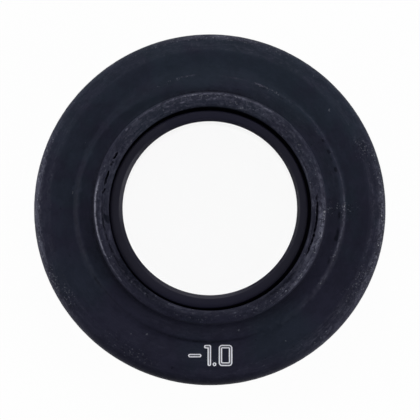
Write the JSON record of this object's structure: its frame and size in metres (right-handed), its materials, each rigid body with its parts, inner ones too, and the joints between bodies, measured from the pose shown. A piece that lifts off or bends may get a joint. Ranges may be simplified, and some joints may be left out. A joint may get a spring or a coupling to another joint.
{
  "type": "diopter correction lens",
  "caption": "Round screw-in correction lens for a viewfinder eyepiece: rubber-faced metal mount with a raised collar, a glass window and a threaded spigot behind.",
  "frame": {"origin": "on the optical axis, at the end of the threaded spigot", "axes": "+Z along the optical axis towards the eye; -Y towards the side of the face that carries the strength"},
  "size_m": [0.02, 0.02, 0.0052],
  "materials": {
    "black_metal": "satin black anodised, turned",
    "glass": "clear, coated",
    "rubber": "matt moulded, worn at its edges"
  },
  "bodies": {
    "root": {"lens_mount": "black_metal", "lens": "glass", "retaining_ring": "black_metal", "rubber_face_ring": "rubber"}
  },
  "joints": []
}
